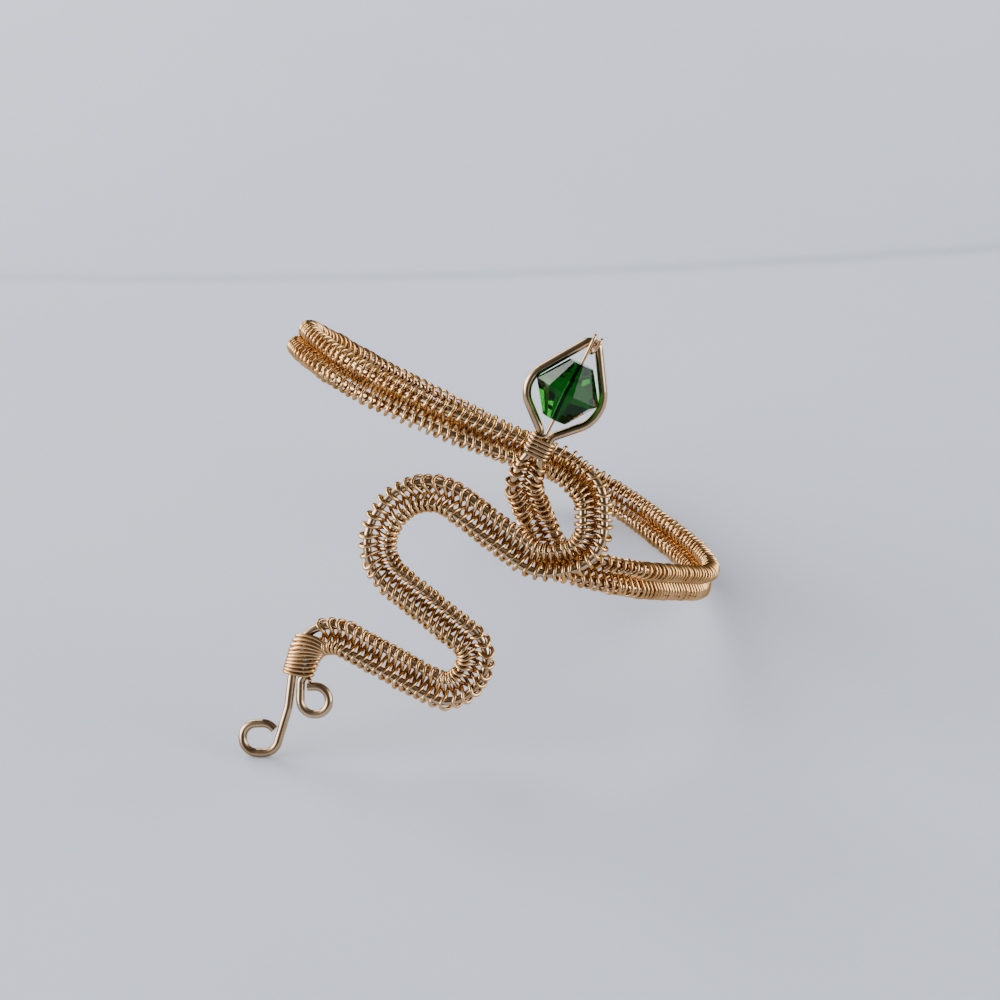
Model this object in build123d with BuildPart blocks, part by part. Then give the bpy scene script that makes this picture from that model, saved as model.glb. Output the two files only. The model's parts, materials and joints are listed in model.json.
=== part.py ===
from build123d import *
import os
from math import atan, cos, degrees, pi, radians, sin

os.makedirs("parts", exist_ok=True)

# A snake-shaped cuff bracelet of gilt wire with a green bicone bead for its head.
# Two round core wires run side by side through the whole body. A fine wire is woven round both in a
# figure of eight, and makes a band with two round lobes and a groove between them.
# The band starts at the tail with its two curls, swings through the bends at the front, makes a small loop,
# goes once round the wrist and comes up through the loop to the neck and head.
# Lengths are in millimetres. The route is drawn in wrist coordinates:
# X across the front, to the wearer's right as seen from the front, Y away from the front, Z along the arm.
# The finished bracelet is leaned over as it rests by itself on a table, with Z up and the table at zero.

# Driving dimensions
ring_radius = 29.6          # wrist centre to the middle of the band
wire_diameter = 1.0         # core wire, one length from curl to curl
thread_diameter = 0.4       # fine wire of the weave, the neck binding and the bead's stem
core_spacing = 2.5          # between the two core wires, centre to centre
lobe_diameter = 2.4         # round outside of the weave over one core wire
web_thickness = 1.5         # weave where it crosses between the core wires
reach = 10.0                # half the width of the snake's bends, the unit of the tables below
bead_diameter = 8.0         # across the corners of the bead's girdle
bead_length = 7.0
bead_facets = 8             # facets round each half of the bead
bead_end = 3.0              # across the corners of its flat ends
neck_spacing = 1.44         # core wires in the neck binding, centre to centre
tail_spacing = 1.2          # core wires at the tail's last wraps, centre to centre
neck_turns = 5              # turns of the neck binding
binding_pitch = 0.46        # from one turn of the binding to the next
weave_gap = 0.06            # free space between a core wire and the weave
binding_gap = 0.05          # free space between a core wire and the thread wound on it
binding_margin = 0.28       # from the foot of the neck to the first turn of its binding
bead_gap = 0.1              # free space between the bead and its stem
layer_gap = 0.6             # free space where one part of the band crosses another
wrap_step = 0.02            # how much slimmer the plain wraps start than the lobes they join

# Roll of the band about its own line at the tail, which sets it upright in the ring
tail_roll = 7

# Lean of the wrist axes as the bracelet lies on its ring and its long curl
lean_angles = (-18.69, 30.65, -2.97)

# Derived sizes
wire_radius = wire_diameter / 2
thread_radius = thread_diameter / 2
lobe_radius = lobe_diameter / 2
bore_radius = wire_radius + weave_gap
layer_step = lobe_diameter + layer_gap
back_layer = 0.932 * ring_radius
neck_length = neck_turns * binding_pitch + 2 * thread_diameter
taper_length = 0.26 * reach
wrap_radius = bore_radius + thread_diameter
stem_across = -0.01 * reach
stem_out = wire_radius + binding_gap + thread_radius
bead_climb = 0.61 * reach
thread_bend = 0.9 * stem_out

# Tail, bends and loop, from the tail's end to where the band goes behind the neck.
# across and along in reaches, layer from 0 behind to 1 in front, bend radius in reaches
snake_corners = [
    {"across": -0.84, "along": -3.12, "layer": 1.0, "bend": 0.0},
    {"across": -0.945, "along": -2.43, "layer": 1.0, "bend": 0.34},
    {"across": 0.90, "along": -2.41, "layer": 1.0, "bend": 0.305},
    {"across": 0.92, "along": -1.76, "layer": 1.0, "bend": 0.305},
    {"across": -0.91, "along": -1.45, "layer": 1.0, "bend": 0.55},
    {"across": -0.75, "along": -0.30, "layer": 1.0, "bend": 0.55},
    {"across": 0.97, "along": -0.55, "layer": 1.0, "bend": 0.45},
    {"across": 1.46, "along": -0.12, "layer": 1.0, "bend": 0.37},
    {"across": 1.10, "along": 0.51, "layer": 0.75, "bend": 0.35},
    {"across": 0.62, "along": 0.58, "layer": 0.1, "bend": 0.40},
]

# Ring round the wrist, by corners of the polygon that its bends round off.
# azimuth in degrees from the front, distance and bend radius in ring radii, along in reaches
ring_corners = [
    {"azimuth": -30, "distance": 1.088, "along": 0.20, "bend": 0.95},
    {"azimuth": -90, "distance": 1.19, "along": 0.08, "bend": 0.95},
    {"azimuth": -150, "distance": 1.15, "along": -0.25, "bend": 0.95},
    {"azimuth": 153, "distance": 1.112, "along": -0.06, "bend": 0.80},
    {"azimuth": 96, "distance": 1.15, "along": -0.07, "bend": 0.80},
    {"azimuth": 37.6, "distance": 1.13, "along": -0.215, "bend": 0.36},
]

# Under the loop and up to the foot of the neck binding, columns as for the snake
neck_corners = [
    {"across": 1.14, "along": -0.46, "layer": 0.0, "bend": 0.40},
    {"across": 0.68, "along": -0.13, "layer": 0.0, "bend": 0.27},
    {"across": 0.36, "along": 0.16, "layer": 0.95, "bend": 0.27},
    {"across": 0.30, "along": 0.52, "layer": 1.2, "bend": 0.0},
]

# Head frame, from the neck's left wire over the tip to its right wire, in reaches from the neck's top
head_corners = [
    {"across": -0.575, "along": 0.395, "bend": 0.31},
    {"across": -0.045, "along": 1.265, "bend": 0.105},
    {"across": 0.52, "along": 0.48, "bend": 0.39},
]

# Second half of the bead wire, from the bead's top twice over the tip, in reaches from the neck's top;
# out in steps of the stem's own distance in front of the frame
tip_wraps = [
    {"across": -0.08, "out": 1.0, "along": 1.26},
    {"across": -0.055, "out": -1.0, "along": 1.26},
    {"across": -0.02, "out": -1.0, "along": 1.06},
    {"across": -0.015, "out": 1.0, "along": 1.06},
    {"across": 0.012, "out": 1.0, "along": 1.255},
    {"across": 0.037, "out": -1.0, "along": 1.25},
    {"across": 0.045, "out": -1.0, "along": 1.08},
]

# Curls, from the last wraps of the tail to the cut end, in reaches from the middle of the tail's end
long_curl = [
    {"across": -0.06, "along": 0.0, "bend": 0.10},
    {"across": 0.085, "along": -0.355, "bend": 0.50},
    {"across": 0.205, "along": -0.905, "bend": 0.18},
    {"across": -0.125, "along": -1.105, "bend": 0.165},
    {"across": -0.295, "along": -0.81, "bend": 0.165},
    {"across": -0.035, "along": -0.64, "bend": 0.15},
    {"across": 0.068, "along": -0.665, "bend": 0.0},
]
short_curl = [
    {"across": 0.06, "along": 0.0, "bend": 0.10},
    {"across": 0.245, "along": -0.35, "bend": 0.16},
    {"across": 0.545, "along": -0.17, "bend": 0.16},
    {"across": 0.375, "along": 0.12, "bend": 0.16},
    {"across": 0.165, "along": -0.02, "bend": 0.0},
]


def front_point(across, along, layer):
    """A point of the front, given in reaches and by its layer."""
    return Vector(across * reach, -(back_layer + layer * layer_step), along * reach)


def ring_point(azimuth, distance, along):
    """A point round the wrist, by its angle from the front."""
    turn = radians(azimuth)
    radius = distance * ring_radius
    return Vector(radius * sin(turn), -radius * cos(turn), along * reach)


def beside(corners, bends, side, shift):
    """The same route moved sideways by shift, with side turning along with the route and never twisting."""
    heading = (corners[1] - corners[0]).normalized()
    side = (side - heading * side.dot(heading)).normalized()
    moved = [corners[0] + side * shift]
    moved_bends = []
    for index in range(1, len(corners) - 1):
        ahead = (corners[index + 1] - corners[index]).normalized()
        axis = heading.cross(ahead).normalized()
        inward = (ahead - heading).normalized()
        half_turn = radians(heading.get_angle(ahead) / 2)
        lean_in = side.dot(axis.cross(heading))
        lean_up = side.dot(axis)
        moved.append(corners[index] + axis * (lean_up * shift) + inward * (lean_in * shift / cos(half_turn)))
        moved_bends.append(bends[index] - lean_in * shift)
        side = axis * lean_up + axis.cross(ahead) * lean_in
        heading = ahead
    moved.append(corners[-1] + side * shift)
    return moved, moved_bends, side


# Centre line of the band
route = [front_point(row["across"], row["along"], row["layer"]) for row in snake_corners]
route += [ring_point(row["azimuth"], row["distance"], row["along"]) for row in ring_corners]
route += [front_point(row["across"], row["along"], row["layer"]) for row in neck_corners]
route_bends = [row["bend"] * reach for row in snake_corners]
route_bends += [row["bend"] * ring_radius for row in ring_corners]
route_bends += [row["bend"] * reach for row in neck_corners]

tail_end = route[0]
tail_heading = (route[1] - route[0]).normalized()
neck_foot = route[-1]
neck_heading = (route[-1] - route[-2]).normalized()
body = [tail_end + tail_heading * taper_length] + route[1:-1] + [neck_foot - neck_heading * taper_length / 2]

# Core wire: short curl, right core, head frame, left core back to the tail, long curl
across_dir = Vector(1, 0, 0)
along_dir = Vector(0, 0, 1)
out_dir = Vector(0, -1, 0)
flat_side = across_dir * cos(radians(tail_roll)) + out_dir * sin(radians(tail_roll))
right_core, right_bends, end_side = beside(body, route_bends, flat_side, core_spacing / 2)
left_core, left_bends, end_side = beside(body, route_bends, flat_side, -core_spacing / 2)
neck_side = (end_side - along_dir * end_side.dot(along_dir)).normalized()
tail_side = (flat_side - tail_heading * flat_side.dot(tail_heading)).normalized()
neck_top = neck_foot + along_dir * neck_length
head_out = neck_side.cross(along_dir)
taper_bend = 0.2 * reach


def curl_points(rows):
    """The corners of a curl, flat in the front."""
    return [tail_end + flat_side * (row["across"] * reach) + along_dir * (row["along"] * reach) for row in rows]


def curl_bends(rows):
    """The bend radii of a curl's corners."""
    return [row["bend"] * reach for row in rows]


head_frame = [
    neck_top + neck_side * (row["across"] * reach) + along_dir * (row["along"] * reach) for row in head_corners
]
head_bends = [row["bend"] * reach for row in head_corners]

wire_points = curl_points(short_curl)[::-1] + right_core
wire_bends = curl_bends(short_curl)[::-1][1:] + [taper_bend] + right_bends + [taper_bend]
wire_points += [neck_foot + neck_side * neck_spacing / 2, neck_top + neck_side * neck_spacing / 2]
wire_bends += [taper_bend, taper_bend / 2]
wire_points += head_frame[::-1]
wire_bends += head_bends[::-1]
wire_points += [neck_top - neck_side * neck_spacing / 2, neck_foot - neck_side * neck_spacing / 2]
wire_bends += [taper_bend / 2, taper_bend]
wire_points += left_core[::-1] + curl_points(long_curl)
wire_bends += [taper_bend] + left_bends[::-1] + [taper_bend] + curl_bends(long_curl)[:-1]

# Where the leaned bracelet stands: its middle over the origin and its lowest point on the table.
# Its left and front ends are bare wire, its right and back ends are woven.
lean = Plane(Location((0, 0, 0), lean_angles))
with BuildLine() as trial:
    FilletPolyline(*[lean.from_local_coords(point) for point in wire_points], radius=wire_bends)
trial_box = trial.line.bounding_box()
middle_x = (trial_box.min.X - wire_radius + trial_box.max.X + lobe_radius) / 2
middle_y = (trial_box.min.Y - wire_radius + trial_box.max.Y + lobe_radius) / 2
table_z = trial_box.min.Z - wire_radius
wrist = Plane(origin=(-middle_x, -middle_y, -table_z), x_dir=lean.x_dir, z_dir=lean.z_dir)


def placed(point):
    """A point of the wrist frame where it stands on the table."""
    return wrist.from_local_coords(point)


def section_plane(point, facing, sideways):
    """A plane for a profile at a point of the wrist frame."""
    start = placed(point)
    return Plane(origin=start, x_dir=placed(point + sideways) - start, z_dir=placed(point + facing) - start)


def head_point(across, out, along):
    """A point of the head in millimetres from the top of the neck."""
    return neck_top + neck_side * across + head_out * out + along_dir * along


# Core wire
with BuildPart() as core_wire:
    with BuildLine() as wire_line:
        FilletPolyline(*[placed(point) for point in wire_points], radius=wire_bends)
    with BuildSketch(Plane(origin=wire_line.line @ 0, z_dir=wire_line.line % 0)):
        Circle(wire_radius)
    sweep()
core_wire.part.label = "core_wire"
export_step(core_wire.part, "parts/core_wire.step")

# Woven band: two round lobes joined by a web, narrowing to plain wraps at the tail and at the neck,
# with a bore for each core wire
tail_plane = section_plane(body[0], tail_heading, tail_side)
tail_tip_plane = section_plane(tail_end + tail_heading * thread_radius, tail_heading, tail_side)
neck_plane = section_plane(body[-1], neck_heading, end_side)
neck_tip_plane = section_plane(neck_foot - along_dir * thread_radius, along_dir, neck_side)
with BuildPart() as woven_band:
    with BuildLine() as band_line:
        FilletPolyline(*[placed(point) for point in body], radius=route_bends[1:-1])
    with BuildSketch(tail_plane):
        with Locations((-core_spacing / 2, 0), (core_spacing / 2, 0)):
            Circle(lobe_radius)
        Rectangle(core_spacing, web_thickness)
    sweep()
    for wide_plane, tip_plane, tip_spacing in (
        (tail_plane, tail_tip_plane, tail_spacing),
        (neck_plane, neck_tip_plane, neck_spacing),
    ):
        with BuildSketch(wide_plane):
            SlotCenterToCenter(core_spacing, lobe_diameter - wrap_step)
        with BuildSketch(tip_plane):
            SlotCenterToCenter(tip_spacing, 2 * wrap_radius)
        loft()
    with BuildSketch(Plane(origin=wire_line.line @ 0, z_dir=wire_line.line % 0)):
        Circle(bore_radius)
    sweep(path=wire_line.line, mode=Mode.SUBTRACT)
woven_band.part.label = "woven_band"
export_step(woven_band.part, "parts/woven_band.step")

# Straight stem of the bead wire, from the top of the neck binding to the tip of the head
wind_across = neck_spacing / 2 + stem_out
wind_start = binding_margin - neck_length
wind_end = wind_start + neck_turns * binding_pitch
stem_foot = head_point(stem_across, stem_out, wind_end)
stem_top = head_point(tip_wraps[0]["across"] * reach, stem_out, tip_wraps[0]["along"] * reach)
stem_dir = (stem_top - stem_foot).normalized()

# Bead: a bicone with flat ends, one corner of its girdle to each side, drilled for its stem
bead_taper = degrees(atan((bead_diameter - bead_end) * cos(pi / bead_facets) / bead_length))
bead_plane = section_plane(stem_foot + stem_dir * bead_climb, stem_dir, neck_side)
with BuildPart() as bead:
    with BuildSketch(bead_plane):
        RegularPolygon(bead_diameter / 2, bead_facets)
    extrude(amount=bead_length / 2, taper=bead_taper, both=True)
    with BuildSketch(bead_plane):
        Circle(thread_radius + bead_gap)
    extrude(amount=bead_length / 2, both=True, mode=Mode.SUBTRACT)
bead.part.label = "bead"
export_step(bead.part, "parts/bead.step")

# Bead wire: wound round the neck, up through the bead, twice over the tip of the head
thread_points = []
for turn in range(neck_turns):
    for quarter, (across, out) in enumerate(((-1, 1), (1, 1), (1, -1), (-1, -1))):
        climb = wind_start + (turn + quarter / 4) * binding_pitch
        thread_points.append(head_point(across * wind_across, out * stem_out, climb))
thread_points.append(head_point(-wind_across, stem_out, wind_end))
thread_points.append(stem_foot)
thread_bends = [thread_bend] * (len(thread_points) - 1)
for row in tip_wraps:
    thread_points.append(head_point(row["across"] * reach, row["out"] * stem_out, row["along"] * reach))
    thread_bends.append(thread_bend)
with BuildPart() as bead_wire:
    with BuildLine() as thread_line:
        FilletPolyline(*[placed(point) for point in thread_points], radius=thread_bends[:-1])
    with BuildSketch(Plane(origin=thread_line.line @ 0, z_dir=thread_line.line % 0)):
        Circle(thread_radius)
    sweep()
bead_wire.part.label = "bead_wire"
export_step(bead_wire.part, "parts/bead_wire.step")
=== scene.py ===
import json
import bpy
import numpy as np
from mathutils import Matrix, Vector


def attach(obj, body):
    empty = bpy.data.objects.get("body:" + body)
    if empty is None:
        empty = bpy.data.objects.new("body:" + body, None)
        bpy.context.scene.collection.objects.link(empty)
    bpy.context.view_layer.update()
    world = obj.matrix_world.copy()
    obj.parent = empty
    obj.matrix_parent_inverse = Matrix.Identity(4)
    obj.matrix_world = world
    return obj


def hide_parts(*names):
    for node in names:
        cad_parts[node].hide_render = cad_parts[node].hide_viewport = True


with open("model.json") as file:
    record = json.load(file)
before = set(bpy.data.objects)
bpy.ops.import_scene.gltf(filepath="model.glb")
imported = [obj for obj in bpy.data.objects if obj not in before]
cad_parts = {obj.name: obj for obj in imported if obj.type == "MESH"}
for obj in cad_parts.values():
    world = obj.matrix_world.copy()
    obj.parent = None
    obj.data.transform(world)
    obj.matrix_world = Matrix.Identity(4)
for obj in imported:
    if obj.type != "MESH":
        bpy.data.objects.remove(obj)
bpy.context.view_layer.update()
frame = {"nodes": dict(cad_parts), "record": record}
print("stage: frame loaded")

# Lengths are in millimetres until a mesh is made, in the wrist's own axes:
# x across the front, y away from the front, z along the arm.
stock = {
    "reach": 10.0,           # half the width of the snake's bends
    "ringRadius": 29.6,      # wrist centre to the middle of the band
    "threadDiameter": 0.45,  # fine wire of the weave
    "coreSpacing": 2.5,      # between the two heavy wires
    "layerStep": 3.0,        # from the band behind to the band in front
    "backLayer": 0.932,      # in ring radii
    "tailRoll": 7.0,         # degrees about the band's own line at the tail
    "lean": (-18.69, 30.65, -2.97),  # degrees about x, y and z, as it lies on the table
    "chamfer": 0.25,         # at a cut end of the thread, in its radii
}
reach = stock["reach"]
threadRadius = stock["threadDiameter"] / 2
lineDetail = {"step": 0.05, "onRun": 2, "onBend": 6}  # millimetres between points, and the fewest on each

# Route of the band from the tail to the neck, by the corners that its bends round off.
# across and along in reaches, layer 0 behind to 1 in front, bend radius in reaches
snakeCorners = [
    {"across": -0.84, "along": -3.12, "layer": 1.0, "bend": 0.0},
    {"across": -0.945, "along": -2.43, "layer": 1.0, "bend": 0.34},
    {"across": 0.90, "along": -2.41, "layer": 1.0, "bend": 0.305},
    {"across": 0.92, "along": -1.76, "layer": 1.0, "bend": 0.305},
    {"across": -0.91, "along": -1.45, "layer": 1.0, "bend": 0.55},
    {"across": -0.75, "along": -0.30, "layer": 1.0, "bend": 0.55},
    {"across": 0.97, "along": -0.55, "layer": 1.0, "bend": 0.45},
    {"across": 1.46, "along": -0.12, "layer": 1.0, "bend": 0.37},
    {"across": 1.10, "along": 0.51, "layer": 0.75, "bend": 0.35},
    {"across": 0.62, "along": 0.58, "layer": 0.1, "bend": 0.40},
]
# azimuth in degrees from the front, distance and bend in ring radii, along in reaches
ringCorners = [
    {"azimuth": -30, "distance": 1.088, "along": 0.20, "bend": 0.95},
    {"azimuth": -90, "distance": 1.19, "along": 0.08, "bend": 0.95},
    {"azimuth": -150, "distance": 1.15, "along": -0.25, "bend": 0.95},
    {"azimuth": 153, "distance": 1.112, "along": -0.06, "bend": 0.80},
    {"azimuth": 96, "distance": 1.15, "along": -0.07, "bend": 0.80},
    {"azimuth": 37.6, "distance": 1.13, "along": -0.215, "bend": 0.36},
]
neckCorners = [
    {"across": 1.14, "along": -0.46, "layer": 0.0, "bend": 0.40},
    {"across": 0.68, "along": -0.13, "layer": 0.0, "bend": 0.27},
    {"across": 0.36, "along": 0.16, "layer": 0.95, "bend": 0.27},
    {"across": 0.30, "along": 0.52, "layer": 1.2, "bend": 0.0},
]


def unit(vectors):
    # each vector divided by its own length
    return vectors / np.linalg.norm(vectors, axis=-1, keepdims=True)


def frontPoint(row):
    # (across, -(back layer + layer * step), along)
    depth = stock["backLayer"] * stock["ringRadius"] + row["layer"] * stock["layerStep"]
    return np.array([row["across"] * reach, -depth, row["along"] * reach])


def ringPoint(row):
    # (r sin azimuth, -r cos azimuth, along)
    turn, radius = np.radians(row["azimuth"]), row["distance"] * stock["ringRadius"]
    return np.array([radius * np.sin(turn), -radius * np.cos(turn), row["along"] * reach])


def alongBend(angle, centre, bend, heading, inward, axis, side):
    # place, heading and side at an angle round a bend; toCentre = cos a * inward - sin a * heading,
    # place = centre - bend * toCentre, and the side keeps its shares of axis and toCentre
    toCentre = np.cos(angle) * inward - np.sin(angle) * heading
    ahead = np.cos(angle) * heading + np.sin(angle) * inward
    return centre - bend * toCentre, ahead, (side @ axis) * axis + (side @ inward) * toCentre


def roundedLine(corners, bends, side):
    # straight runs joined by arcs tangent to both; the side vector turns with each arc and never twists
    # returns points, headings, sides, distances, and the distance at each corner
    points, headings, sides, marks = [], [], [], [0.0]
    start, travelled = corners[0], 0.0
    for index in range(1, len(corners)):
        heading = unit(corners[index] - corners[index - 1])
        side = unit(side - heading * (side @ heading))
        last = index == len(corners) - 1
        stop = corners[index]
        if not last:
            ahead = unit(corners[index + 1] - corners[index])
            halfTurn = np.arccos(np.clip(heading @ ahead, -1, 1)) / 2
            stop = stop - heading * (bends[index] * np.tan(halfTurn))
        length = np.linalg.norm(stop - start)
        count = max(lineDetail["onRun"], int(length / lineDetail["step"]))
        share = np.linspace(0, 1, count, endpoint=last)[:, None]
        points.append(start + (stop - start) * share)
        headings.append(heading + 0 * share)
        sides.append(side + 0 * share)
        travelled += length
        if last:
            marks.append(travelled)
            break
        axis = unit(np.cross(heading, ahead))
        inward = np.cross(axis, heading)
        arc = 2 * halfTurn * bends[index]
        count = max(lineDetail["onBend"], int(arc / lineDetail["step"]))
        angle = np.linspace(0, 2 * halfTurn, count, endpoint=False)[:, None]
        bend = (stop + inward * bends[index], bends[index], heading, inward, axis, side)
        for rows, values in zip((points, headings, sides), alongBend(angle, *bend)):
            rows.append(values)
        marks.append(travelled + arc / 2)
        travelled += arc
        start, _, side = alongBend(2 * halfTurn, *bend)
    points, headings, sides = (np.concatenate(rows) for rows in (points, headings, sides))
    gaps = np.linalg.norm(np.diff(points, axis=0), axis=1)
    return points, headings, sides, np.concatenate([[0], np.cumsum(gaps)]), np.array(marks)


# Line of the band from the tail's end to the foot of the neck, with its width and thickness directions
route = [frontPoint(row) for row in snakeCorners] + [ringPoint(row) for row in ringCorners]
route += [frontPoint(row) for row in neckCorners]
routeBends = [row["bend"] * reach for row in snakeCorners]
routeBends += [row["bend"] * stock["ringRadius"] for row in ringCorners]
routeBends += [row["bend"] * reach for row in neckCorners]
tailRoll = np.radians(stock["tailRoll"])
flatSide = np.array([np.cos(tailRoll), -np.sin(tailRoll), 0.0])
bandPoints, bandHeadings, bandSides, bandDistances, cornerMarks = roundedLine(route, routeBends, flatSide)
bandUps = np.cross(bandHeadings, bandSides)
cornerNumbers = np.arange(len(cornerMarks))

# Leaned over about the wrist's centre, which the record gives as the mount
(cosX, cosY, cosZ), (sinX, sinY, sinZ) = np.cos(np.radians(stock["lean"])), np.sin(np.radians(stock["lean"]))
turnX = np.array([[1, 0, 0], [0, cosX, -sinX], [0, sinX, cosX]])
turnY = np.array([[cosY, 0, sinY], [0, 1, 0], [-sinY, 0, cosY]])
turnZ = np.array([[cosZ, -sinZ, 0], [sinZ, cosZ, 0], [0, 0, 1]])
leanTurn = turnX @ turnY @ turnZ
wristCentre = np.array(frame["record"]["mounts"][0]["pos_m"])
print("stage: band's line worked out,", round(float(bandDistances[-1])), "mm")


def onTable(points):
    # wrist axes in millimetres to the finished place in metres
    return points @ leanTurn.T * 0.001 + wristCentre


def bandPlace(distance, across, out):
    # point of the band's line + width direction * across + thickness direction * out, and the width
    # direction; each is read between the line's points by its distance from the tail
    def read(rows):
        return np.stack([np.interp(distance, bandDistances, rows[:, axis]) for axis in range(3)], -1)
    sideways = unit(read(bandSides))
    return read(bandPoints) + sideways * across[:, None] + unit(read(bandUps)) * out[:, None], sideways


def addMesh(name, points, faces, material):
    # a smooth mesh object at the origin with its place in its points
    mesh = bpy.data.meshes.new(name)
    mesh.from_pydata(points.tolist(), [], faces)
    mesh.update()
    mesh.polygons.foreach_set("use_smooth", [True] * len(mesh.polygons))
    piece = bpy.data.objects.new(name, mesh)
    bpy.context.scene.collection.objects.link(piece)
    mesh.materials.append(material)
    return piece


def gridFaces(rows, columns, closed):
    # four-cornered faces between rows and columns of points; closed joins the last column to the first
    steps = columns if closed else columns - 1
    row, column = np.meshgrid(np.arange(rows - 1), np.arange(steps), indexing="ij")
    here, beside = row * columns + column, row * columns + (column + 1) % columns
    return np.stack([here, beside, beside + columns, here + columns], -1).reshape(-1, 4).tolist()


def threadPiece(name, line, guide, radius, sides, material):
    # round profile carried along the line: point + radius (cos a * guide + sin a * heading x guide),
    # with a small chamfer and a flat cap at each cut end; the attribute lay holds cos a, sin a and the
    # distance along the thread, for its drawing streaks
    heading = unit(np.gradient(line, axis=0))
    line = np.concatenate([line[:1], line, line[-1:]])
    guide = np.concatenate([guide[:1], guide, guide[-1:]])
    heading = np.concatenate([heading[:1], heading, heading[-1:]])
    line[0] = line[1] - heading[0] * radius * stock["chamfer"]
    line[-1] = line[-2] + heading[-1] * radius * stock["chamfer"]
    size = np.full(len(line), radius)
    size[[0, -1]] = radius * (1 - stock["chamfer"])
    first = unit(guide - heading * (guide * heading).sum(1, keepdims=True))
    second = np.cross(heading, first)
    angle = np.linspace(0, 2 * np.pi, sides, endpoint=False)
    rim = first[:, None] * np.cos(angle)[None, :, None] + second[:, None] * np.sin(angle)[None, :, None]
    points = line[:, None] + rim * size[:, None, None]
    firstCap, lastCap = np.arange(sides)[::-1], (len(line) - 1) * sides + np.arange(sides)
    faces = gridFaces(len(line), sides, closed=True) + [firstCap.tolist(), lastCap.tolist()]
    piece = addMesh(name, onTable(points.reshape(-1, 3)), faces, material)
    travelled = np.concatenate([[0], np.cumsum(np.linalg.norm(np.diff(line, axis=0), axis=1))])
    lay = np.broadcast_arrays(np.cos(angle)[None, :], np.sin(angle)[None, :], travelled[:, None])
    attribute = piece.data.attributes.new("lay", "FLOAT_VECTOR", "POINT")
    attribute.data.foreach_set("vector", np.stack(lay, -1).astype(np.float32).ravel())
    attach(piece, "root")
    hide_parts("woven_band")
    print("stage:", name, len(faces), "faces", round(float(travelled[-1])), "mm")


# Gold finishes: the two tones of the metal, its tint at glancing angles, the two roughnesses, and how many
# tone changes to the metre. woven is for thread that has a lay of its own.
goldFinish = {
    "fine": {
        "light": (0.70, 0.455, 0.225, 1), "deep": (0.44, 0.265, 0.115, 1), "edge": (0.58, 0.37, 0.185, 1),
        "smooth": 0.06, "worn": 0.15, "scale": 260.0, "woven": True,
    },
    # ring is the fine thread's gold made darker and warmer on the ring alone: painted shade, standing in for
    # darker reflections on the ring
    "ring": {
        "light": (0.66, 0.405, 0.185, 1), "deep": (0.40, 0.225, 0.09, 1), "edge": (0.51, 0.31, 0.145, 1),
        "smooth": 0.06, "worn": 0.15, "scale": 260.0, "woven": True,
    },
    "heavy": {
        "light": (0.60, 0.425, 0.25, 1), "deep": (0.34, 0.225, 0.12, 1), "edge": (0.46, 0.335, 0.21, 1),
        "smooth": 0.06, "worn": 0.15, "scale": 160.0, "woven": False,
    },
    "binding": {
        "light": (0.66, 0.45, 0.24, 1), "deep": (0.41, 0.265, 0.13, 1), "edge": (0.54, 0.37, 0.20, 1),
        "smooth": 0.06, "worn": 0.16, "scale": 260.0, "woven": False,
    },
}
# Grain of all drawn wire: where the noise reads as the deep and as the light tone, handling marks, drawing
# streaks, the noise that reads as smooth and as worn, and the relief's strength and depth in metres
grain = {
    "deepBelow": 0.3, "lightAbove": 0.7, "toneDetail": 3.0,
    "marksScale": 900.0, "marksDetail": 4.0,
    "streaksScale": 1.0, "streaksDetail": 2.0, "onThread": (4.0, 4.0, 0.5), "inSpace": (700.0, 700.0, 700.0),
    "smoothBelow": 0.12, "wornAbove": 0.42,
    "relief": 0.35, "depth": 0.00001,
}


def newNode(nodes, kind, **values):
    # a shader node with some of its inputs set; a name such as fromMin stands for the input From Min
    node = nodes.new(kind)
    for label, value in values.items():
        spaced = "".join(" " + letter if letter.isupper() else letter for letter in label)
        node.inputs[spaced[0].upper() + spaced[1:]].default_value = value
    return node


def colorRamp(nodes, stops):
    # a colour ramp from places between 0 and 1 with their colours
    ramp = nodes.new("ShaderNodeValToRGB")
    elements = ramp.color_ramp.elements
    elements[0].position, elements[1].position = stops[0][0], stops[-1][0]
    for position, _ in stops[1:-1]:
        elements.new(position)
    for element, (_, color) in zip(elements, stops):
        element.color = color
    return ramp


def newMaterial(name):
    # a material with its nodes, links and surface shader
    material = bpy.data.materials.new(name)
    material.use_nodes = True
    tree = material.node_tree
    return material, tree.nodes, tree.links, tree.nodes["Principled BSDF"]


def newGroup(name, inputs, outputs):
    # an empty shader node group with named sockets
    group = bpy.data.node_groups.new(name, "ShaderNodeTree")
    for direction, sockets in (("INPUT", inputs), ("OUTPUT", outputs)):
        for label, kind in sockets:
            group.interface.new_socket(label, in_out=direction, socket_type="NodeSocket" + kind)
    return group, group.nodes.new("NodeGroupInput"), group.nodes.new("NodeGroupOutput")


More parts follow.
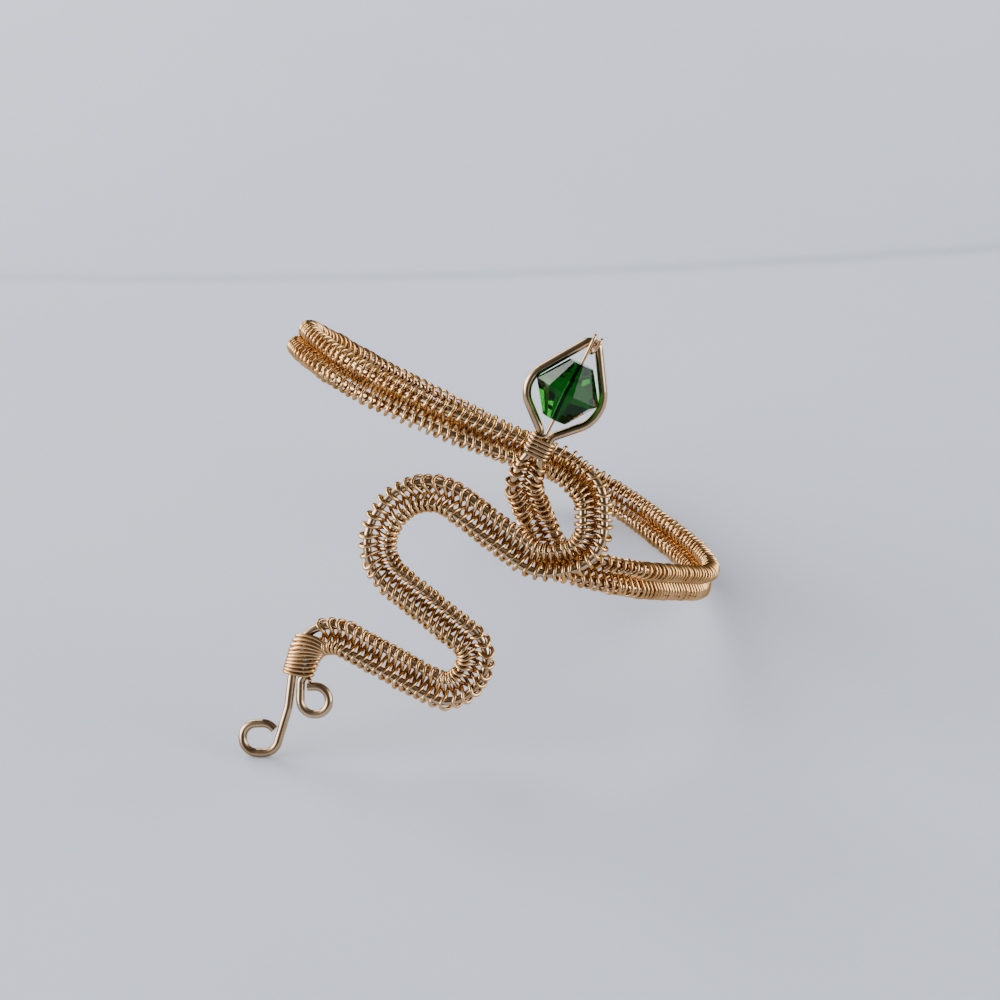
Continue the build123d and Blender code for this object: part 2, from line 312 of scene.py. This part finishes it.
def drawnWireGroup():
    # colour, roughness and height of drawn wire: broad tone changes, handling marks and drawing streaks.
    # colour = deep to light by the tone noise; height = streaks * marks; roughness = smooth to worn by height
    group, entry, exitNode = newGroup(
        "drawnWire",
        [("Place", "Vector"), ("Light Tone", "Color"), ("Deep Tone", "Color"), ("Tone Scale", "Float"),
         ("Streaks", "Float"), ("Smooth", "Float"), ("Worn", "Float")],
        [("Color", "Color"), ("Roughness", "Float"), ("Height", "Float")])
    nodes, links = group.nodes, group.links
    place = nodes.new("ShaderNodeTexCoord")
    tone = newNode(nodes, "ShaderNodeTexNoise", detail=grain["toneDetail"])
    links.new(place.outputs["Object"], tone.inputs["Vector"])
    links.new(entry.outputs["Tone Scale"], tone.inputs["Scale"])
    spread = newNode(nodes, "ShaderNodeMapRange", fromMin=grain["deepBelow"], fromMax=grain["lightAbove"])
    links.new(tone.outputs["Fac"], spread.inputs["Value"])
    mix = nodes.new("ShaderNodeMix")
    mix.data_type = "RGBA"
    links.new(spread.outputs["Result"], mix.inputs["Factor"])
    links.new(entry.outputs["Deep Tone"], mix.inputs["A"])
    links.new(entry.outputs["Light Tone"], mix.inputs["B"])
    links.new(mix.outputs["Result"], exitNode.inputs["Color"])
    streaks = newNode(nodes, "ShaderNodeTexNoise", detail=grain["streaksDetail"])
    links.new(entry.outputs["Place"], streaks.inputs["Vector"])
    links.new(entry.outputs["Streaks"], streaks.inputs["Scale"])
    marks = newNode(nodes, "ShaderNodeTexNoise", scale=grain["marksScale"], detail=grain["marksDetail"])
    links.new(place.outputs["Object"], marks.inputs["Vector"])
    height = nodes.new("ShaderNodeMath")
    height.operation = "MULTIPLY"
    links.new(streaks.outputs["Fac"], height.inputs[0])
    links.new(marks.outputs["Fac"], height.inputs[1])
    wear = newNode(nodes, "ShaderNodeMapRange", fromMin=grain["smoothBelow"], fromMax=grain["wornAbove"])
    links.new(height.outputs["Value"], wear.inputs["Value"])
    links.new(entry.outputs["Smooth"], wear.inputs["To Min"])
    links.new(entry.outputs["Worn"], wear.inputs["To Max"])
    links.new(wear.outputs["Result"], exitNode.inputs["Roughness"])
    links.new(height.outputs["Value"], exitNode.inputs["Height"])
    return group


drawnWire = drawnWireGroup()


def goldMaterial(name, finish):
    # polished light gold wire on the drawn wire group; streaks follow the thread, or lie in space on solids
    material, nodes, links, shader = newMaterial(name)
    shader.inputs["Metallic"].default_value = 1.0
    shader.inputs["Specular Tint"].default_value = finish["edge"]
    group = nodes.new("ShaderNodeGroup")
    group.node_tree = drawnWire
    for label, value in (("Light Tone", finish["light"]), ("Deep Tone", finish["deep"]),
                         ("Tone Scale", finish["scale"]), ("Streaks", grain["streaksScale"]),
                         ("Smooth", finish["smooth"]), ("Worn", finish["worn"])):
        group.inputs[label].default_value = value
    if finish["woven"]:
        place, output, stretch = nodes.new("ShaderNodeAttribute"), "Vector", grain["onThread"]
        place.attribute_name = "lay"
    else:
        place, output, stretch = nodes.new("ShaderNodeTexCoord"), "Object", grain["inSpace"]
    mapping = newNode(nodes, "ShaderNodeMapping", scale=stretch)
    links.new(place.outputs[output], mapping.inputs["Vector"])
    links.new(mapping.outputs["Vector"], group.inputs["Place"])
    links.new(group.outputs["Color"], shader.inputs["Base Color"])
    links.new(group.outputs["Roughness"], shader.inputs["Roughness"])
    relief = newNode(nodes, "ShaderNodeBump", strength=grain["relief"], distance=grain["depth"])
    links.new(group.outputs["Height"], relief.inputs["Height"])
    links.new(relief.outputs["Normal"], shader.inputs["Normal"])
    return material


fineGold = goldMaterial("fineGoldWire", goldFinish["fine"])
# the ring's copy of the thread gold, darker and warmer than fine: painted shade on the ring
shadedRingGold = goldMaterial("ringGoldWireShaded", goldFinish["ring"])
heavyGold = goldMaterial("heavyGoldWire", goldFinish["heavy"])
bindingGold = goldMaterial("bindingGoldWire", goldFinish["binding"])


def dressNode(name, material):
    # a solid that stays gets its finish in its own slots
    materials = frame["nodes"][name].data.materials
    materials.clear()
    materials.append(material)


dressNode("core_wire", heavyGold)
dressNode("bead_wire", bindingGold)
print("stage: heavy wire and bead wire finished")

# Figure of eight weave, a crossed belt round both cores for each turn, by stretches of the route.
# pitch is from one turn to the next, wide and thick are half the weave's width and thickness, in millimetres,
# and core is the share of the core spacing that the loops centre on. lean opens the loops into rings, by
# carrying the front of each ahead and its back behind, in millimetres for each millimetre out. With slant 0
# the strands between the cores stay square to the band, and with slant 1 they slant in step with the loops.
# The uneven values are how far the loops stray from each other: unevenStep in turns, unevenSize and
# unevenThick as shares, unevenOut in millimetres, unevenLean as lean.
weave = {
    "samples": 48,  # points to a turn
    "sides": 9,     # round the thread
    "seed": 11,
    "gridPoints": 6000,
    "unevenStep": 0.055, "unevenSize": 0.05, "unevenThick": 0.04, "unevenOut": 0.03, "unevenLean": 0.10,
    # corner counts the route's corners from the tail
    "stretches": [
      {"corner": 0.95, "pitch": 0.80, "core": 0.94, "wide": 1.95, "thick": 0.82, "lean": 0.40, "slant": 0.2},
      {"corner": 1.5, "pitch": 0.94, "core": 1.0, "wide": 2.06, "thick": 0.82, "lean": 0.48, "slant": 0.2},
      {"corner": 2.2, "pitch": 0.90, "core": 1.0, "wide": 2.06, "thick": 0.82, "lean": 0.40, "slant": 0.2},
      {"corner": 3.2, "pitch": 0.90, "core": 1.0, "wide": 2.06, "thick": 0.82, "lean": 0.38, "slant": 0.2},
      {"corner": 3.8, "pitch": 0.90, "core": 1.0, "wide": 2.06, "thick": 0.82, "lean": 0.40, "slant": 0.3},
      {"corner": 4.15, "pitch": 0.94, "core": 1.0, "wide": 2.10, "thick": 0.82, "lean": 0.18, "slant": 0.8},
      {"corner": 4.75, "pitch": 0.94, "core": 1.0, "wide": 2.08, "thick": 0.82, "lean": 0.24, "slant": 0.9},
      {"corner": 5.0, "pitch": 0.94, "core": 1.0, "wide": 2.04, "thick": 0.82, "lean": 0.76, "slant": 1.0},
      {"corner": 5.3, "pitch": 0.94, "core": 1.0, "wide": 2.04, "thick": 0.82, "lean": 0.62, "slant": 0.8},
      {"corner": 5.6, "pitch": 0.92, "core": 1.0, "wide": 2.06, "thick": 0.82, "lean": 0.42, "slant": 0.3},
      {"corner": 5.9, "pitch": 0.90, "core": 1.0, "wide": 2.06, "thick": 0.82, "lean": 0.30, "slant": 0.2},
      {"corner": 6.2, "pitch": 0.86, "core": 1.0, "wide": 2.06, "thick": 0.82, "lean": 0.18, "slant": 0.2},
      {"corner": 8.6, "pitch": 0.86, "core": 1.0, "wide": 2.06, "thick": 0.82, "lean": 0.18, "slant": 0.2},
      {"corner": 9.4, "pitch": 1.00, "core": 1.0, "wide": 2.10, "thick": 0.86, "lean": 0.45, "slant": 0.6},
      {"corner": 10.2, "pitch": 1.30, "core": 1.0, "wide": 2.26, "thick": 1.04, "lean": 0.56, "slant": 1.0},
      {"corner": 11.5, "pitch": 1.34, "core": 1.0, "wide": 2.26, "thick": 1.04, "lean": 0.50, "slant": 1.0},
      {"corner": 13.3, "pitch": 0.96, "core": 1.0, "wide": 2.16, "thick": 0.96, "lean": 0.36, "slant": 0.5},
      {"corner": 15.2, "pitch": 0.92, "core": 1.0, "wide": 2.14, "thick": 0.94, "lean": 0.36, "slant": 0.5},
      {"corner": 16.2, "pitch": 0.90, "core": 1.0, "wide": 2.10, "thick": 0.86, "lean": 0.40, "slant": 0.3},
      {"corner": 18.1, "pitch": 0.88, "core": 0.98, "wide": 2.05, "thick": 0.82, "lean": 0.22, "slant": 0.3},
      {"corner": 18.9, "pitch": 0.78, "core": 0.76, "wide": 1.70, "thick": 0.78, "lean": 0.15, "slant": 0.3},
    ],
}
random = np.random.default_rng(weave["seed"])
weaveStart = np.interp(weave["stretches"][0]["corner"], cornerNumbers, cornerMarks)
weaveStop = bandDistances[-1] - threadRadius
grid = np.linspace(weaveStart, weaveStop, weave["gridPoints"])
stretchPlaces = np.interp([row["corner"] for row in weave["stretches"]], cornerNumbers, cornerMarks)


def weaveValue(distance, column):
    # the stretch table read between its rows
    return np.interp(distance, stretchPlaces, [row[column] for row in weave["stretches"]])


rate = 1 / weaveValue(grid, "pitch")
turnsAt = np.concatenate([[0], np.cumsum((rate[1:] + rate[:-1]) / 2 * np.diff(grid))])
turnCount = int(turnsAt[-1])
turnShift = random.normal(0, weave["unevenStep"], turnCount + 2)


def perLoop(label, turns):
    # one seeded number for each loop, run smoothly from the middle of one loop to the next
    values = random.normal(0, weave[label], 2 * turnCount + 4)
    return np.interp(2 * turns, np.arange(len(values)) - 0.5, values)


turns = np.arange(turnCount * weave["samples"] + 1) / weave["samples"]
unevenTurns = turns + np.interp(turns, np.arange(len(turnShift)), turnShift)
middleDistance = np.interp(turns, turnsAt, grid)
distance = np.interp(unevenTurns, turnsAt, grid)


def crossedBelt(turns, core, radius, slant):
    # from the web a straight run to the tangent point in front of one core, an arc round its outside to the
    # tangent point behind, a straight run back through the web, and the same round the other core, at even
    # speed; gives across, out for a loop as thick as it is round, and how far the loop opens along the band:
    # one sine wave over each arc, ahead in front and behind at the back, so the web's strands stay square to
    # the band, blended by slant towards an opening in step with out, which slants them
    side = np.where(turns % 1 < 0.5, 1.0, -1.0)
    straight = np.sqrt(core ** 2 - radius ** 2)
    tangent = np.pi - np.arccos(radius / core)
    travelled = (2 * turns % 1) * 2 * (straight + radius * tangent)
    turned = np.clip((travelled - straight) / radius, 0, 2 * tangent)
    angle = tangent - turned
    before = np.minimum(travelled / straight, 1)
    after = np.clip((travelled - straight - 2 * radius * tangent) / straight, 0, 1)
    share = np.minimum(before, 1 - after)
    out = share * radius * np.sin(angle)
    opening = (1 - slant) * radius * np.sin(np.pi * turned / tangent) + slant * out
    return side * share * (core + radius * np.cos(angle)), out, opening


halfCore = stock["coreSpacing"] / 2 * weaveValue(middleDistance, "core")
loopRadius = (weaveValue(middleDistance, "wide") - halfCore) * (1 + perLoop("unevenSize", turns))
across, out, opening = crossedBelt(turns, halfCore, loopRadius, weaveValue(middleDistance, "slant"))
out = out * weaveValue(middleDistance, "thick") / loopRadius * (1 + perLoop("unevenThick", turns))
out = out + perLoop("unevenOut", turns)
distance = distance + (weaveValue(middleDistance, "lean") + perLoop("unevenLean", turns)) * opening
threadPoints, threadGuides = bandPlace(distance, across, out)


def weavePiece(name, firstCorner, lastCorner, material):
    # the thread from one corner of the route to another
    first, last = np.interp([firstCorner, lastCorner], cornerNumbers, cornerMarks)
    inside = np.flatnonzero((middleDistance >= first) & (middleDistance <= last))
    keep = slice(inside[0], min(inside[-1] + 2, len(threadPoints)))
    threadPiece(name, threadPoints[keep], threadGuides[keep], threadRadius, weave["sides"], material)


weavePiece("weaveBends", 0, 6.2, fineGold)
weavePiece("weaveLoop", 6.2, 10, fineGold)
weavePiece("weaveRingRight", 10, 12, shadedRingGold)
weavePiece("weaveRingBack", 12, 14, shadedRingGold)
weavePiece("weaveRingFront", 14, 16, shadedRingGold)
weavePiece("weaveNeck", 16, 19, fineGold)

# Plain slanted wraps at the tail: an ellipse round both cores that narrows from wide to narrow, half widths
# in millimetres, towards the tail's end. first is how far from the end they begin, slant how far one edge
# runs ahead, and waver the uneven thickness, as a share, with its angle for each turn in radians.
tailWraps = {
    "turns": 11, "samples": 36, "wide": 2.03, "narrow": 1.62, "thick": 0.84,
    "slant": 1.35, "first": 0.25, "waver": 0.06, "waverTurn": 5.1,
}
wrapTurns = np.arange(tailWraps["turns"] * tailWraps["samples"] + 1) / tailWraps["samples"]
wrapShare = wrapTurns / wrapTurns[-1]
wrapAngle = 2 * np.pi * wrapTurns
wrapHalf = tailWraps["narrow"] + (tailWraps["wide"] - tailWraps["narrow"]) * wrapShare
wrapAcross = wrapHalf * np.cos(wrapAngle)
wrapWaver = 1 + tailWraps["waver"] * np.sin(tailWraps["waverTurn"] * wrapTurns)
wrapOut = tailWraps["thick"] * np.sin(wrapAngle) * wrapWaver
wrapDistance = tailWraps["first"] + (weaveStart - tailWraps["first"]) * wrapShare
wrapDistance = wrapDistance + tailWraps["slant"] * np.sqrt(wrapShare) * wrapAcross / tailWraps["wide"]
wrapDistance = np.maximum(wrapDistance, 0)
wrapPoints, wrapGuides = bandPlace(wrapDistance, wrapAcross, wrapOut)
threadPiece("tailWraps", wrapPoints, wrapGuides, threadRadius, weave["sides"], fineGold)

# Green glass on the bead's own solid: its dark and clear tones with the noise that reads as each, the tint
# of what it mirrors, and its two roughnesses
glassFinish = {
    "dark": (0.003, 0.050, 0.003, 1), "clear": (0.010, 0.110, 0.010, 1), "darkBelow": 0.3, "clearAbove": 0.75,
    "drift": 180.0, "shine": (0.25, 0.30, 0.25, 1), "ior": 1.32, "smooth": 0.01, "worn": 0.05,
}


def greenGlass():
    # deep green glass whose tone and polish drift slowly through the bead
    material, nodes, links, shader = newMaterial("greenGlass")
    shader.inputs["Transmission Weight"].default_value = 1.0
    shader.inputs["IOR"].default_value = glassFinish["ior"]
    shader.inputs["Specular Tint"].default_value = glassFinish["shine"]
    place = nodes.new("ShaderNodeTexCoord")
    drift = newNode(nodes, "ShaderNodeTexNoise", scale=glassFinish["drift"])
    links.new(place.outputs["Object"], drift.inputs["Vector"])
    ramp = colorRamp(nodes, [(glassFinish["darkBelow"], glassFinish["dark"]),
                             (glassFinish["clearAbove"], glassFinish["clear"])])
    links.new(drift.outputs["Fac"], ramp.inputs["Fac"])
    links.new(ramp.outputs["Color"], shader.inputs["Base Color"])
    polish = newNode(nodes, "ShaderNodeMapRange", toMin=glassFinish["smooth"], toMax=glassFinish["worn"])
    links.new(drift.outputs["Fac"], polish.inputs["Value"])
    links.new(polish.outputs["Result"], shader.inputs["Roughness"])
    return material


dressNode("bead", greenGlass())
print("stage: bead finished")

# Pale paper: a floor that rises a little behind a soft fold, in metres
paper = {
    "foldY": 0.1153, "foldSkew": 0.015, "foldBow": 0.70,  # line of the fold, which bows back at both sides
    "bowLimit": 0.02,                                     # x squared where the bow ends
    "foldSoft": 0.0012, "step": 0.0010,                   # half width and height of the fold
    "flatBefore": -6.0,                                   # flat in front of this, in half widths of the fold
    "rise": 4.0,                                          # degrees
    "reachOut": 1.6, "rows": 201, "columns": 61,
    "tone": (0.61, 0.65, 0.745, 1), "shade": 0.97,        # shade is the darker fibre's share of the tone
    "shadeBelow": 0.35, "toneAbove": 0.65, "fibreScale": 14.0, "fibreDetail": 5.0,
    "rough": 0.75, "shine": 0.25,
}


def paperMaterial():
    # matt paper with faint fibre and broad tone changes
    material, nodes, links, shader = newMaterial("palePaper")
    shader.inputs["Roughness"].default_value = paper["rough"]
    shader.inputs["Specular IOR Level"].default_value = paper["shine"]
    place = nodes.new("ShaderNodeTexCoord")
    fibre = newNode(nodes, "ShaderNodeTexNoise", scale=paper["fibreScale"], detail=paper["fibreDetail"])
    links.new(place.outputs["Object"], fibre.inputs["Vector"])
    shaded = [share * paper["shade"] for share in paper["tone"][:3]] + [1]
    ramp = colorRamp(nodes, [(paper["shadeBelow"], shaded), (paper["toneAbove"], paper["tone"])])
    links.new(fibre.outputs["Fac"], ramp.inputs["Fac"])
    links.new(ramp.outputs["Color"], shader.inputs["Base Color"])
    return material


def paperSheet():
    # height = tan(rise) * soft * ln(1 + exp(d / soft)) + step / (1 + exp(-2 d / soft)), d the distance behind
    # the fold line y = foldY + foldSkew x + foldBow x^2, with x^2 held at bowLimit; flat in front
    rowShare = np.linspace(-1, 1, paper["rows"])
    columnShare = np.linspace(-1, 1, paper["columns"])
    x, behind = np.meshgrid(paper["reachOut"] * np.sign(columnShare) * columnShare ** 2,
                            paper["reachOut"] * np.sign(rowShare) * np.abs(rowShare) ** 3)
    bow = paper["foldBow"] * np.minimum(x ** 2, paper["bowLimit"])
    y = paper["foldY"] + paper["foldSkew"] * x + bow + behind
    steps = np.maximum(behind / paper["foldSoft"], 2 * paper["flatBefore"])
    z = np.tan(np.radians(paper["rise"])) * paper["foldSoft"] * np.logaddexp(0, steps)
    z = z + paper["step"] / (1 + np.exp(-2 * steps))
    z[steps < paper["flatBefore"]] = 0
    faces = gridFaces(paper["rows"], paper["columns"], closed=False)
    return addMesh("paperFloor", np.stack([x, y, z], -1).reshape(-1, 3), faces, paperMaterial())


paperSheet()

# Light: a window behind to the left, and a room with pale walls at both sides that is dim between them
studio = {
    "window": {"place": (-0.52, 0.80, 0.62), "aim": (0, 0, 0.02), "size": 0.60, "power": 8.6,
               "color": (1.0, 0.99, 0.97)},
    "room": 10.0,      # strength of the walls' light
    "roomBlue": 1.04,
    # place from the left of the room, 0, to its right, 1, and brightness
    "walls": [(0.0, 1.0), (0.06, 0.95), (0.13, 0.22), (0.22, 0.05), (0.40, 0.014),
              (0.60, 0.014), (0.80, 0.04), (0.90, 0.20), (0.95, 0.80), (1.0, 0.85)],
}


def areaLight(name, place, aim, size, power, color):
    # a square lamp that looks from its place at its aim
    data = bpy.data.lights.new(name, "AREA")
    data.size, data.energy, data.color = size, power, color
    lamp = bpy.data.objects.new(name, data)
    bpy.context.scene.collection.objects.link(lamp)
    lamp.location = place
    lamp.rotation_euler = (Vector(aim) - Vector(place)).to_track_quat("-Z", "Y").to_euler()


areaLight("windowLight", **studio["window"])


def roomWorld():
    # brightness by direction from the left of the room to its right: dim in front, behind and overhead
    world = bpy.data.worlds.new("paleRoom")
    bpy.context.scene.world = world
    world.use_nodes = True
    nodes, links = world.node_tree.nodes, world.node_tree.links
    place = nodes.new("ShaderNodeTexCoord")
    split = nodes.new("ShaderNodeSeparateXYZ")
    links.new(place.outputs["Generated"], split.inputs["Vector"])
    span = newNode(nodes, "ShaderNodeMapRange", fromMin=-1.0)
    links.new(split.outputs["X"], span.inputs["Value"])
    ramp = colorRamp(nodes, [(position, (level, level, level * studio["roomBlue"], 1))
                             for position, level in studio["walls"]])
    links.new(span.outputs["Result"], ramp.inputs["Fac"])
    links.new(ramp.outputs["Color"], nodes["Background"].inputs["Color"])
    nodes["Background"].inputs["Strength"].default_value = studio["room"]


roomWorld()

# Camera where the photograph was taken from, in metres and degrees; lens and sensor in millimetres
shot = {
    "place": (0.007498, -0.264242, 0.152315), "yaw": -1.308, "pitch": -27.308, "roll": -1.946,
    "lens": 84.18, "sensor": 36, "clipStart": 0.01,
}
yaw, pitch, roll = np.radians([shot["yaw"], shot["pitch"], shot["roll"]])
forward = np.array([np.sin(yaw) * np.cos(pitch), np.cos(yaw) * np.cos(pitch), np.sin(pitch)])
level = unit(np.cross(forward, [0, 0, 1]))
upright = np.cross(level, forward)
rightDir = level * np.cos(roll) + upright * np.sin(roll)
upDir = upright * np.cos(roll) - level * np.sin(roll)
cameraData = bpy.data.cameras.new("photoView")
cameraData.lens, cameraData.sensor_width = shot["lens"], shot["sensor"]
cameraData.clip_start = shot["clipStart"]
camera = bpy.data.objects.new("photoView", cameraData)
bpy.context.scene.collection.objects.link(camera)
turned = Matrix([rightDir, upDir, -forward]).transposed().to_4x4()
turned.translation = Vector(shot["place"])
camera.matrix_world = turned
bpy.context.scene.camera = camera
